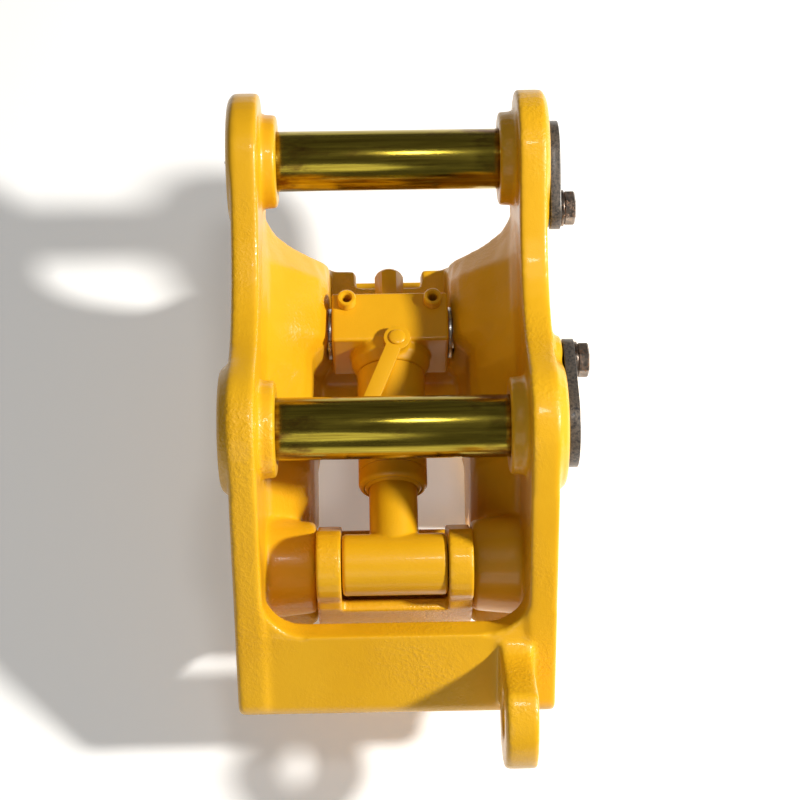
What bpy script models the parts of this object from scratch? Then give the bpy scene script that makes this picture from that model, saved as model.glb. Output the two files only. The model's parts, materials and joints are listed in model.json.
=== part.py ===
"""Hydraulic pin-grabber quick coupler for a 7 to 9 tonne excavator.

Design frame: X across the machine (the pins' direction), +Y towards the fixed hook, +Z up.
Y = Z = 0 is the rear machine pin, X = 0 the middle plane. An empty moves the whole assembly
so that the origin ends up under the middle of its bounding box.
"""
import math

import bmesh
import bpy
from mathutils import Matrix, Vector

# ---------------------------------------------------------------- driving dimensions (metres)
GAP = 0.0003                    # clearance between neighbouring pieces

PIN_R = 0.025                   # both machine pins, diameter 50
PIN_SPACING = 0.238             # centre to centre
REAR_PIN = (0.0, 0.0)           # (y, z) of the rear machine pin
FRONT_PIN = (PIN_SPACING, 0.0)
COLLAR_FACE_X = 0.092           # inner collars stand this far from the middle
PLATE_IN_X = 0.106              # side wall, inner face at pin height
PLATE_OUT_X = 0.129             # side wall, outer face at pin height
COLLAR_R = 0.039
FRONT_LOBE_R = 0.057
REAR_LOBE_R = 0.055
FRONT_BOSS_X = 0.1325           # outer boss faces
REAR_BOSS_X = 0.1365

NECK_IN = 0.040                 # how far the walls step in towards the bucket side
NECK_DEPTH = 0.065              # height of that step
NECK_START = 0.050              # depth under the pin line where the step starts at the pins
NECK_START_MIDDLE = 0.015       # and between the pins
NECK_RAMP = (0.020, 0.075, 0.160, 0.212)   # y where the start changes
CHEEK_EXTRA = 0.0145            # inner faces come in further beside the cylinder block
CHEEK_RAMP = (0.092, 0.108)
NECK_CUTS_Y = (0.020, 0.048, 0.075, 0.092, 0.108, 0.160, 0.186, 0.212)
NECK_LEVELS = 8

BUCKET_PIN_R = 0.026            # hook radius, for a 50 mm bucket pin
HOOK = (0.200, -0.190)          # bucket pin in the fixed hook
SEAT = (HOOK[0] - PIN_SPACING, HOOK[1])    # bucket pin in the rear seat
BELLY_Z = -0.245                # underside of the hooks

JAW_PIVOT = (-0.078, -0.125)
JAW_PIN_R = 0.018
JAW_BOSS_R = 0.038
JAW_BOSS_X = 0.064
JAW_HALF_WIDTH = 0.0633
JAW_ARM_T = 0.020
JAW_BUSH_R = 0.0220
CLIP_R = 0.0186                 # outer radius of the rod-end pin's rings

TRUNNION = (0.122, -0.098)      # the cylinder swings about this axis
TRUNNION_R = 0.014
BLOCK_HALF_X = 0.0495
BLOCK_HALF_Y = 0.023
BLOCK_HALF_Z = 0.031
TRUNNION_BOSS_X = 0.0531
ROD_END = (-0.091, -0.075)      # rod-end pin
ROD_END_PIN_R = 0.014
ROD_END_PLAY = 0.0030           # the linkage is opened here, so this bore is wide
BARREL_R = 0.025
BARREL_HALF_X = 0.0425
TUBE_R = 0.0285
BORE_R = 0.0223
ROD_R = 0.020
GLAND_END = 0.147               # distance from the trunnion axis to the gland's end face
GLAND_LENGTH = 0.014
GLAND_SPIGOT = 0.012            # how far the gland reaches into the tube
TUBE_START = 0.040
BLOCK_BEVEL = 0.004
BLOCK_NECK_R = 0.0335
CHAMBER_R = 0.0180
VALVE_STEM_R = 0.0082
PORT = (0.0365, 0.0135)         # port adapters: distance from the middle, place along the block
WIPER_R = 0.0237
SPIGOT_R = 0.012                # the piston's seat on the rod
PISTON_LENGTH = 0.022

LEVER_X = 0.0055                # the lock lever's stud on its round boss
LEVER_Y = -0.0250
LEVER_BASE_Z = 0.0337
LEVER_T = 0.0050
LEVER_REACH = 0.078
LEVER_AIM = math.radians(-21.6)
STUD_R = 0.0040
LEVER_BOSS_R = 0.0105
VALVE_HEAD_LENGTH = 0.037

EYE = (-0.215, -0.075)          # lifting eye
EYE_R = 0.043
EYE_HOLE_R = 0.018
EYE_X = (0.083, 0.109)

CROSS_START = 0.1585            # rear cross member, measured along the sloping rim
CROSS_END = 0.236
CROSS_T = 0.024
WINDOW_CORNER_R = 0.034

COLLAR_ROOT_X = 0.110           # collars and bosses start inside the 23 mm wall
BOSS_ROOT_X = 0.126
THROUGH_X = 0.160               # cutters that go right through reach this far
RECESS_X = PLATE_OUT_X - 0.0085   # floor of the jaw pin's recess
SPOT_X = 0.0960                 # floor of the trunnion pin's recess
WASHER_SEAT_R = 0.0240
GREASE_WAY_R = 0.0032
PIN_LEFT_X = 0.0005 - PLATE_OUT_X  # left end of both machine pins
JAW_PIN_END_X = PLATE_OUT_X - 0.003

KEEPER_T = 0.009
KEEPER_TIP_R = 0.0175
KEEPER_BOLT_R = 0.008
WASHER_T = 0.0025
BOLT_HEAD = 0.009
FRONT_BOLT_Y = FRONT_PIN[0] - 0.047
REAR_BOLT_Y = 0.055

ROUND = 28                      # sides of a large round piece
SMALL = 16                      # sides of a small one

SLOPE = math.sqrt(0.5)          # the rear rim falls at 45 degrees
CYL_AXIS = Vector((0.0, ROD_END[0] - TRUNNION[0], ROD_END[1] - TRUNNION[1]))
CYL_LENGTH = CYL_AXIS.length
CYL_TILT = -math.asin(CYL_AXIS.z / CYL_LENGTH)

BOX_X = (-REAR_BOSS_X, REAR_BOSS_X + 3 * GAP + KEEPER_T + WASHER_T + BOLT_HEAD)  # whole assembly
BOX_Y = (EYE[0] - EYE_R, FRONT_PIN[0] + FRONT_LOBE_R)
FRAME_SHIFT = Vector((-sum(BOX_X) / 2, -sum(BOX_Y) / 2, -BELLY_Z))

# ---------------------------------------------------------------- scene and materials
for old in list(bpy.data.objects):
    bpy.data.objects.remove(old, do_unlink=True)


def make_material(name, colour, roughness, metallic):
    mat = bpy.data.materials.new(name)
    mat.use_nodes = True
    shader = mat.node_tree.nodes["Principled BSDF"]
    shader.inputs["Base Color"].default_value = (*colour, 1.0)
    shader.inputs["Roughness"].default_value = roughness
    shader.inputs["Metallic"].default_value = metallic
    mat.diffuse_color = (*colour, 1.0)
    return mat


YELLOW = ("yellow_enamel", (0.76, 0.41, 0.02), 0.30, 0.0)
PLATED = ("zinc_plated_pin", (0.36, 0.29, 0.03), 0.28, 1.0)
BLACK = ("black_keeper_paint", (0.02, 0.02, 0.02), 0.45, 0.0)
STEEL = ("bright_steel", (0.50, 0.47, 0.43), 0.35, 1.0)
CHROME = ("hard_chrome", (0.65, 0.65, 0.66), 0.12, 1.0)
BRONZE = ("bearing_bronze", (0.55, 0.33, 0.13), 0.40, 1.0)
RUBBER = ("seal_rubber", (0.02, 0.02, 0.02), 0.65, 0.0)

frame_empty = bpy.data.objects.new("coupler_frame", None)
frame_empty.location = FRAME_SHIFT
bpy.context.scene.collection.objects.link(frame_empty)


def make_axis(name, parent, location, tilt=0.0):
    """Empty on a joint's axis, the parent of the pieces that turn about it."""
    empty = bpy.data.objects.new(name, None)
    empty.parent = parent
    empty.location = location
    empty.rotation_euler = (tilt, 0.0, 0.0)
    bpy.context.scene.collection.objects.link(empty)
    return empty


# ---------------------------------------------------------------- shape tools
def finish_piece(name, bm, finish, parent, sharp_degrees=35):
    """Turn a bmesh into a named object with its own material and closed, outward faces."""
    bmesh.ops.recalc_face_normals(bm, faces=bm.faces)
    if bm.calc_volume(signed=True) < 0.0:
        bmesh.ops.reverse_faces(bm, faces=bm.faces)
    mesh = bpy.data.meshes.new(name)
    bm.to_mesh(mesh)
    bm.free()
    mesh.shade_smooth()
    mesh.set_sharp_from_angle(angle=math.radians(sharp_degrees))
    obj = bpy.data.objects.new(name, mesh)
    obj.parent = parent
    bpy.context.scene.collection.objects.link(obj)
    if finish:
        label, colour, roughness, metallic = finish
        mesh.materials.append(make_material(f"{label}_{name}", colour, roughness, metallic))
    return obj


def prism_mesh(outline, x0, x1):
    """Closed (y, z) outline pushed along X."""
    bm = bmesh.new()
    verts = [bm.verts.new((x0, y, z)) for y, z in outline]
    face = bm.faces.new(verts)
    grown = bmesh.ops.extrude_face_region(bm, geom=[face])
    moved = [item for item in grown["geom"] if isinstance(item, bmesh.types.BMVert)]
    bmesh.ops.translate(bm, verts=moved, vec=(x1 - x0, 0.0, 0.0))
    return bm


def turned_mesh(profile, axis, centre=(0.0, 0.0, 0.0), segments=ROUND, ring=False):
    """Solid of revolution. profile holds (radius, place along the axis); ring closes the loop."""
    bm = bmesh.new()
    rows = []
    for radius, along in profile:
        count = segments if radius > 0.0 else 1
        row = []
        for i in range(count):
            turn = 2.0 * math.pi * i / segments
            a, b = radius * math.cos(turn), radius * math.sin(turn)
            place = {"X": (along, a, b), "Y": (a, along, b), "Z": (a, b, along)}[axis]
            row.append(bm.verts.new(Vector(centre) + Vector(place)))
        rows.append(row)
    pairs = list(zip(rows, rows[1:]))
    if ring:
        pairs.append((rows[-1], rows[0]))
    for low, high in pairs:
        for i in range(segments):
            quad = [low[i % len(low)], low[(i + 1) % len(low)],
                    high[(i + 1) % len(high)], high[i % len(high)]]
            corners = list(dict.fromkeys(quad))
            if len(corners) > 2:
                bm.faces.new(corners)
    return bm


def rod_profile(radius, start, end, chamfer=0.001):
    """Plain round bar with chamfered ends."""
    inner = radius - chamfer
    return [(0.0, start), (inner, start), (radius, start + chamfer),
            (radius, end - chamfer), (inner, end), (0.0, end)]


def ring_profile(inner, outer, start, end):
    return [(inner, start), (outer, start), (outer, end), (inner, end)]


def hex_bolt_profile_mesh(across_flats, height, start, axis, centre):
    """Hexagonal head whose outer corners are chamfered by a cone."""
    corner = across_flats / math.sqrt(3.0)
    rim = 0.92 * corner
    edge = 0.16 * height
    profile = [(0.0, start), (corner, start), (corner, start + height - edge),
               (rim, start + height), (0.0, start + height)]
    return turned_mesh(profile, axis, centre, segments=6)


def arc(centre, radius, start, end, steps):
    """Points on a circle in the (y, z) plane, angles in degrees from +Y towards +Z."""
    points = []
    for i in range(steps + 1):
        turn = math.radians(start + (end - start) * i / steps)
        points.append((centre[0] + radius * math.cos(turn), centre[1] + radius * math.sin(turn)))
    return points


def smooth_curve(points, steps=3):
    """Catmull-Rom curve through the given points, without the two end ones."""
    curve = []
    for p0, p1, p2, p3 in zip(points, points[1:], points[2:], points[3:]):
        for i in range(steps):
            t = i / steps
            curve.append(tuple(
                0.5 * (2 * b + (c - a) * t + (2 * a - 5 * b + 4 * c - d) * t * t
                       + (3 * b - a - 3 * c + d) * t ** 3)
                for a, b, c, d in zip(p0, p1, p2, p3)))
    curve.append(points[-2])
    return curve


def helper(name, bm):
    """Shape that only cuts or joins: hidden and left out of the build."""
    obj = finish_piece(name, bm, None, frame_empty)
    obj.hide_render = True
    obj.display_type = "WIRE"
    return obj


def combine(target, tool, operation):
    mod = target.modifiers.new(tool.name, "BOOLEAN")
    mod.object = tool
    mod.operation = operation
    mod.solver = "EXACT"


def merge_meshes(*parts):
    """Several bmeshes in one."""
    total = bmesh.new()
    for part in parts:
        mesh = bpy.data.meshes.new("part")
        part.to_mesh(mesh)
        part.free()
        total.from_mesh(mesh)
        bpy.data.meshes.remove(mesh)
    return total


def both_sides(profile, centre, segments=ROUND):
    """The same turned shape on the right and, mirrored, on the left."""
    place = (0.0, centre[0], centre[1])
    right = turned_mesh(profile, "X", place, segments)
    left = turned_mesh([(radius, -along) for radius, along in profile], "X", place, segments)
    return merge_meshes(right, left)


def cap_profile(radius, start, end):
    return [(0.0, start), (radius, start), (radius, end), (0.0, end)]


def rim_point(along, above):
    """Place on the sloping rear rim: distance from the rear lobe, height over the rim."""
    start = REAR_LOBE_R * SLOPE
    return (-start - SLOPE * (along + above), start - SLOPE * (along - above))


# ---------------------------------------------------------------- the body casting
def wall_outline():
    """Side wall without its hook mouths, clockwise from the top of the front ear."""
    front_neck = [(0.262, -0.050), (0.248, -0.056), (0.222, -0.058), (0.203, -0.059),
                  (0.189, -0.068), (0.185, -0.085), (0.187, -0.108), (0.197, -0.132),
                  (0.207, -0.146), (0.210, -0.162)]
    lip = [(0.227, -0.214), (0.226, -0.228), (0.221, -0.238), (0.210, BELLY_Z)]
    belly = [(0.160, BELLY_Z), (0.128, -0.229), (0.040, -0.229), (0.018, -0.240),
             (0.004, BELLY_Z), (-0.006, BELLY_Z)]
    heel = [(-0.074, -0.236), (-0.092, -0.228), (-0.112, -0.202), (-0.138, -0.172),
            (-0.168, -0.150), (-0.187, -0.1388)]
    rear_corner = arc((-0.188, -0.125), 0.0135, -90, -225, 5)
    saddle = [(0.000, 0.055), arc(REAR_PIN, REAR_LOBE_R, 60, 60, 1)[0], (0.062, 0.024),
              (0.105, 0.012), (0.155, 0.020), arc(FRONT_PIN, FRONT_LOBE_R, 118, 118, 1)[0],
              (0.238, 0.057)]
    return (arc(FRONT_PIN, FRONT_LOBE_R, 118, -72, 16)
            + smooth_curve(front_neck, 2)
            + lip + belly + heel + rear_corner
            + arc(REAR_PIN, REAR_LOBE_R, 135, 60, 7)
            + smooth_curve(saddle, 3)[1:-1])


def ramp(value, start, end):
    return max(0.0, min(1.0, (value - start) / (end - start)))


def neck_start(y):
    """Depth where the step starts: early between the pins, late at each of them."""
    rise = ramp(y, NECK_RAMP[0], NECK_RAMP[1]) - ramp(y, NECK_RAMP[2], NECK_RAMP[3])
    return NECK_START + (NECK_START_MIDDLE - NECK_START) * rise


def neck_shift(y, z, is_inner):
    """How far a point of the wall has moved in towards the middle."""
    t = ramp(min(y, 0.0) - z, neck_start(y), neck_start(y) + NECK_DEPTH)
    extra = CHEEK_EXTRA * ramp(y, *CHEEK_RAMP) if is_inner else 0.0
    return (NECK_IN + extra) * t * t * (3.0 - 2.0 * t)


def side_wall_mesh(side):
    """Wall plate, cut into a grid and bent in between the pins and the hooks."""
    bm = prism_mesh(wall_outline(), PLATE_IN_X, PLATE_OUT_X)

    def cut(point, normal, reach):
        faces = [face for face in bm.faces if reach(face.calc_center_median())]
        edges = {edge for face in faces for edge in face.edges}
        verts = {vert for face in faces for vert in face.verts}
        geom = faces + list(edges) + list(verts)
        bmesh.ops.bisect_plane(bm, geom=geom, dist=1e-6, plane_co=point, plane_no=normal)

    cut((0.0, 0.0, 0.0), (0.0, 1.0, 0.0), lambda centre: True)
    deepest = NECK_START + NECK_DEPTH
    for level in range(NECK_LEVELS + 1):
        depth = NECK_START_MIDDLE + (deepest - NECK_START_MIDDLE) * level / NECK_LEVELS
        cut((0.0, 0.0, -depth), (0.0, 0.0, 1.0), lambda centre: centre.y > 0.0)
        if depth > 0.9 * NECK_START:
            cut((0.0, 0.0, -depth), (0.0, -SLOPE, SLOPE), lambda centre: centre.y < 0.0)
    for y in NECK_CUTS_Y:
        cut((0.0, y, 0.0), (0.0, 1.0, 0.0), lambda centre: -deepest < centre.z < 0.0)
    middle = (PLATE_IN_X + PLATE_OUT_X) / 2
    for vert in bm.verts:
        vert.co.x -= neck_shift(vert.co.y, vert.co.z, vert.co.x < middle)
        vert.co.x *= side
    bmesh.ops.triangulate(bm, faces=bm.faces)
    return bm


def hook_web_mesh():
    """Solid root of the fixed hook, between the walls and clear of the bucket pin."""
    outline = [(0.2062, -0.1505), (0.2085, -0.1650), (0.2255, -0.2165), (0.2245, -0.229),
               (0.219, -0.238), (0.209, -0.2435), (0.160, -0.2435), (0.128, -0.2275),
               (0.088, -0.2275), (0.079, -0.218), (0.079, -0.192), (0.100, -0.163),
               (0.124, -0.151)]
    return prism_mesh(outline, -0.080, 0.080)


def cross_member_mesh():
    """Rear cross member on the sloping rims, with its lower edge turned in."""
    face = 0.0006
    outline = [rim_point(CROSS_START, face), rim_point(CROSS_END - 0.010, face),
               rim_point(CROSS_END - 0.0025, -0.0035), rim_point(CROSS_END, -0.011),
               rim_point(CROSS_END, -CROSS_T), rim_point(CROSS_START, -CROSS_T)]
    return prism_mesh(outline, -PLATE_OUT_X + 0.0005, PLATE_OUT_X - 0.0005)


def window_corner_mesh(side):
    """Fillet that rounds one lower corner of the rear window."""
    corner = (PLATE_IN_X, CROSS_START)
    middle = (corner[0] - WINDOW_CORNER_R, corner[1] - WINDOW_CORNER_R)
    points = [(corner[0] + 0.006, corner[1] + 0.006), (middle[0], corner[1] + 0.006)]
    points += arc(middle, WINDOW_CORNER_R, 90, 0, 8)
    points.append((corner[0] + 0.006, middle[1]))
    bm = bmesh.new()
    low = [bm.verts.new((side * x, *rim_point(s, -CROSS_T + 0.001))) for x, s in points]
    high = [bm.verts.new((side * x, *rim_point(s, -0.0006))) for x, s in points]
    bm.faces.new(low)
    bm.faces.new(high)
    for i in range(len(points)):
        j = (i + 1) % len(points)
        bm.faces.new((low[i], low[j], high[j], high[i]))
    return bm


def lifting_eye_mesh():
    """Eye plate on the cross member, with concave roots."""
    outline = arc(EYE, EYE_R, 82, 262, 18)
    outline += [rim_point(0.222, 0.007), rim_point(0.226, -0.008)]
    outline += [rim_point(0.168, -0.008), rim_point(0.164, 0.001)]
    outline += [rim_point(0.172, 0.010), rim_point(0.174, 0.022)]
    return prism_mesh(outline, *EYE_X)


def web_notch_mesh():
    """Notch in the web over the fixed hook, with sloping sides."""
    outline = [(-0.0315, -0.140), (0.0315, -0.140), (0.0270, -0.176), (-0.0270, -0.176)]
    bm = bmesh.new()
    face = bm.faces.new([bm.verts.new((x, 0.190, z)) for x, z in outline])
    grown = bmesh.ops.extrude_face_region(bm, geom=[face])
    moved = [item for item in grown["geom"] if isinstance(item, bmesh.types.BMVert)]
    bmesh.ops.translate(bm, verts=moved, vec=(0.0, 0.040, 0.0))
    return bm


def mouth_mesh():
    """Fixed hook mouth, open to the front."""
    outline = arc(HOOK, BUCKET_PIN_R, 90, 270, 14)
    outline += [(0.250, HOOK[1] - BUCKET_PIN_R - 0.002), (0.250, HOOK[1] + BUCKET_PIN_R + 0.006)]
    return prism_mesh(outline, -0.120, 0.120)


def seat_mesh():
    """Rear seat, open downwards."""
    outline = arc(SEAT, BUCKET_PIN_R, 0, 180, 14)
    outline += [(SEAT[0] - BUCKET_PIN_R - 0.006, -0.260), (SEAT[0] + BUCKET_PIN_R + 0.004, -0.260)]
    return prism_mesh(outline, -0.120, 0.120)


def build_body():
    """Both walls joined, then each set of pads that don't touch each other, then all holes."""
    body = finish_piece("coupler_body", side_wall_mesh(1.0), YELLOW, frame_empty)
    bosses = [
        both_sides(cap_profile(COLLAR_R, COLLAR_FACE_X, COLLAR_ROOT_X), FRONT_PIN),
        both_sides(cap_profile(COLLAR_R, COLLAR_FACE_X, COLLAR_ROOT_X), REAR_PIN),
        both_sides([(0.0, BOSS_ROOT_X), (0.0535, BOSS_ROOT_X), (0.0535, 0.130),
                    (0.0505, FRONT_BOSS_X), (0.0, FRONT_BOSS_X)], FRONT_PIN),
        both_sides([(0.0, BOSS_ROOT_X), (0.051, BOSS_ROOT_X), (0.051, 0.1325), (0.047, REAR_BOSS_X),
                    (0.0, REAR_BOSS_X)], REAR_PIN),
        both_sides([(0.0, JAW_BOSS_X), (JAW_BOSS_R - 0.003, JAW_BOSS_X),
                    (JAW_BOSS_R, JAW_BOSS_X + 0.003), (JAW_BOSS_R + 0.005, 0.112),
                    (0.0, 0.112)], JAW_PIVOT),
        both_sides(cap_profile(0.0300, 0.0800, 0.1000), TRUNNION),
    ]
    bolt_pads = [
        turned_mesh(cap_profile(0.018, BOSS_ROOT_X, FRONT_BOSS_X - 0.0002), "X",
                    (0.0, FRONT_BOLT_Y, 0.0), SMALL),
        turned_mesh(cap_profile(0.0205, BOSS_ROOT_X, REAR_BOSS_X - 0.0002), "X",
                    (0.0, REAR_BOLT_Y, 0.0), SMALL),
    ]
    sets = {
        "left_wall": side_wall_mesh(-1.0),
        "hook_web_and_cross_member": merge_meshes(hook_web_mesh(), cross_member_mesh()),
        "window_corners_and_eye": merge_meshes(window_corner_mesh(1.0), window_corner_mesh(-1.0),
                                               lifting_eye_mesh()),
        "bosses": merge_meshes(*bosses),
        "bolt_pads": merge_meshes(*bolt_pads),
    }
    for name, bm in sets.items():
        tool = helper(f"add_{name}", bm)
        if name == "hook_web_and_cross_member":
            combine(tool, helper("cut_web_notch", web_notch_mesh()), "DIFFERENCE")
        combine(body, tool, "UNION")
    jaw_bore = [(0.0, 0.040), (JAW_PIN_R + GAP, 0.040), (JAW_PIN_R + GAP, RECESS_X),
                (0.026, RECESS_X), (0.026, THROUGH_X), (0.0, THROUGH_X)]
    trunnion_bore = [(0.0, 0.030), (WASHER_SEAT_R, 0.030), (WASHER_SEAT_R, TRUNNION_BOSS_X),
                     (TRUNNION_R + GAP, TRUNNION_BOSS_X), (TRUNNION_R + GAP, SPOT_X),
                     (0.0235, SPOT_X), (0.0235, 0.120), (0.0, 0.120)]
    bolt_bore = cap_profile(KEEPER_BOLT_R + GAP, 0.1110, THROUGH_X)
    holes = [
        mouth_mesh(),
        seat_mesh(),
        turned_mesh(cap_profile(PIN_R + GAP, -THROUGH_X, THROUGH_X), "X", (0.0, *FRONT_PIN)),
        turned_mesh(cap_profile(PIN_R + GAP, -THROUGH_X, THROUGH_X), "X", (0.0, *REAR_PIN)),
        both_sides(jaw_bore, JAW_PIVOT),
        both_sides(trunnion_bore, TRUNNION),
        turned_mesh(cap_profile(EYE_HOLE_R, 0.070, 0.120), "X", (0.0, *EYE)),
        turned_mesh(bolt_bore, "X", (0.0, FRONT_BOLT_Y, 0.0), SMALL),
        turned_mesh(bolt_bore, "X", (0.0, REAR_BOLT_Y, 0.0), SMALL),
    ]
    combine(body, helper("cut_all_holes", merge_meshes(*holes)), "DIFFERENCE")


# ---------------------------------------------------------------- machine pins and keepers
def keeper_mesh(centre_y, bolt_y, disc_r, inner_x):
    """Flag keeper: a disc over the pin end, drawn out to the bolt."""
    toward = 1.0 if bolt_y > centre_y else -1.0
    lean = math.degrees(math.asin((disc_r - KEEPER_TIP_R) / abs(bolt_y - centre_y)))
    start = 90.0 - lean
    disc = [(centre_y + toward * (y - centre_y), z)
            for y, z in arc((centre_y, 0.0), disc_r, start, 360.0 - start, 18)]
    tip = [(bolt_y + toward * (y - bolt_y), z)
           for y, z in arc((bolt_y, 0.0), KEEPER_TIP_R, -start, start, 10)]
    return prism_mesh(disc + tip, inner_x, inner_x + KEEPER_T)


def build_pin(label, centre, boss_x, bolt_y, disc_r):
    """One machine pin with its keeper, bolt, washer and grease nipple."""
    place = (0.0, *centre)
    end_x = boss_x - 0.0008
    pin = finish_piece(f"{label}_pin", turned_mesh(rod_profile(PIN_R, PIN_LEFT_X, end_x), "X", place),
                       PLATED, frame_empty)
    drill = helper(f"cut_{label}_grease_way",
                   turned_mesh(cap_profile(GREASE_WAY_R, PIN_LEFT_X - 0.008, PIN_LEFT_X + 0.007),
                               "X", place, 12))
    combine(pin, drill, "DIFFERENCE")
    nipple = [(0.0, -0.0080), (0.0016, -0.0080), (0.0028, -0.0065), (0.0020, -0.0050),
              (0.0044, -0.0037), (0.0044, -0.0006), (0.0028, -0.0003), (0.0028, 0.0060),
              (0.0, 0.0060)]
    nipple = [(radius, PIN_LEFT_X + along) for radius, along in nipple]
    finish_piece(f"{label}_pin_grease_nipple", turned_mesh(nipple, "X", place, 12),
                 STEEL, frame_empty)
    inner_x = boss_x + GAP
    keeper = finish_piece(f"{label}_pin_keeper",
                          keeper_mesh(centre[0], bolt_y, disc_r, inner_x), BLACK, frame_empty)
    bolt_place = (0.0, bolt_y, 0.0)
    hole = helper(f"cut_{label}_keeper_hole",
                  turned_mesh(cap_profile(KEEPER_BOLT_R + 2 * GAP, 0.130, 0.160), "X",
                              bolt_place, SMALL))
    combine(keeper, hole, "DIFFERENCE")
    washer_x = inner_x + KEEPER_T + GAP
    washer = ring_profile(KEEPER_BOLT_R + 2 * GAP, 0.0150, washer_x, washer_x + WASHER_T)
    finish_piece(f"{label}_keeper_washer",
                 turned_mesh(washer, "X", bolt_place, SMALL, ring=True), STEEL, frame_empty)
    head_x = washer_x + WASHER_T + GAP
    bolt = finish_piece(f"{label}_keeper_bolt",
                        turned_mesh(rod_profile(KEEPER_BOLT_R, 0.1120, head_x + 0.004), "X",
                                    bolt_place, SMALL), STEEL, frame_empty)
    head = helper(f"add_{label}_bolt_head",
                  hex_bolt_profile_mesh(0.024, BOLT_HEAD, head_x, "X", bolt_place))
    combine(bolt, head, "UNION")


# ---------------------------------------------------------------- moving jaw
def jaw_outline():
    """Arm and claw: up to the rod-end pin, round the pivot, and under the bucket pin."""
    rear = [(-0.1182, -0.0849), (-0.1245, -0.108), (-0.125, -0.140), (-0.117, -0.180),
            (-0.101, -0.214), (-0.083, -0.232), (-0.058, -0.239), (-0.028, -0.235)]
    tip = [(-0.018, -0.229), (-0.017, -0.219)]
    throat = arc(SEAT, BUCKET_PIN_R + 0.0015, -50, -176, 10)
    front = [(-0.0655, -0.172), (-0.058, -0.158)]
    hub = arc(JAW_PIVOT, 0.034, -32, 30, 5)
    return (arc(ROD_END, 0.029, 18, 198, 12) + smooth_curve([ROD_END] + rear + [tip[0]], 2)[:-1]
            + tip + throat + front + hub + [(-0.0575, -0.090)])


def build_jaw(pivot):
    """Jaw casting with two arms, and the pieces that turn with it."""
    shift = Matrix.Translation((0.0, -JAW_PIVOT[0], -JAW_PIVOT[1]))
    bm = prism_mesh(jaw_outline(), -JAW_HALF_WIDTH, JAW_HALF_WIDTH)
    bm.transform(shift)
    jaw = finish_piece("moving_jaw", bm, YELLOW, pivot)
    inner = JAW_HALF_WIDTH - JAW_ARM_T
    gap = [(-0.040, -0.045), (-0.110, -0.045), (-0.1135, -0.100), (-0.1135, -0.140),
           (-0.104, -0.158), (-0.040, -0.158)]
    slot = helper("cut_jaw_slot", prism_mesh(gap, -inner, inner))
    web_relief = helper("cut_jaw_web_relief",
                        prism_mesh([(-0.105, -0.045), (-0.150, -0.045), (-0.150, -0.098),
                                    (-0.105, -0.098)], -inner, inner))
    combine(jaw, slot, "DIFFERENCE")
    combine(jaw, web_relief, "DIFFERENCE")
    bores = {
        "jaw_bush_bore": both_sides(cap_profile(JAW_BUSH_R + GAP, inner - 0.01, 0.070), JAW_PIVOT),
        "rod_pin_bore": both_sides(cap_profile(ROD_END_PIN_R + GAP, inner - 0.01, 0.070),
                                   ROD_END, SMALL),
        "rod_pin_recess": both_sides(cap_profile(CLIP_R + 0.0004, 0.0590, 0.070), ROD_END, SMALL),
    }
    for name, cutter in bores.items():
        combine(jaw, helper(f"cut_{name}", cutter), "DIFFERENCE")
    rod_place = (0.0, ROD_END[0] - JAW_PIVOT[0], ROD_END[1] - JAW_PIVOT[1])
    finish_piece("rod_end_pin", turned_mesh(rod_profile(ROD_END_PIN_R, -0.0625, 0.0625), "X",
                                            rod_place), CHROME, pivot)
    for side, label in ((-1.0, "left"), (1.0, "right")):
        bush = ring_profile(JAW_PIN_R + GAP, JAW_BUSH_R, side * (inner + 0.0006), side * 0.0630)
        finish_piece(f"jaw_bush_{label}", turned_mesh(bush, "X", segments=ROUND, ring=True),
                     BRONZE, pivot)
        clip = ring_profile(ROD_END_PIN_R + GAP, CLIP_R, side * 0.0594, side * 0.0612)
        finish_piece(f"rod_pin_ring_{label}",
                     turned_mesh(clip, "X", rod_place, SMALL, ring=True), STEEL, pivot)


def build_jaw_pin():
    """Fixed pin that the jaw turns on, held by a ring at each end."""
    place = (0.0, *JAW_PIVOT)
    finish_piece("jaw_pivot_pin",
                 turned_mesh(rod_profile(JAW_PIN_R, -JAW_PIN_END_X, JAW_PIN_END_X), "X", place),
                 CHROME, frame_empty)
    for side, label in ((-1.0, "left"), (1.0, "right")):
        ring = ring_profile(JAW_PIN_R + GAP, 0.0250, side * (RECESS_X + GAP),
                            side * (RECESS_X + 0.0027))
        finish_piece(f"jaw_pin_ring_{label}",
                     turned_mesh(ring, "X", place, ROUND, ring=True), STEEL, frame_empty)


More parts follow.
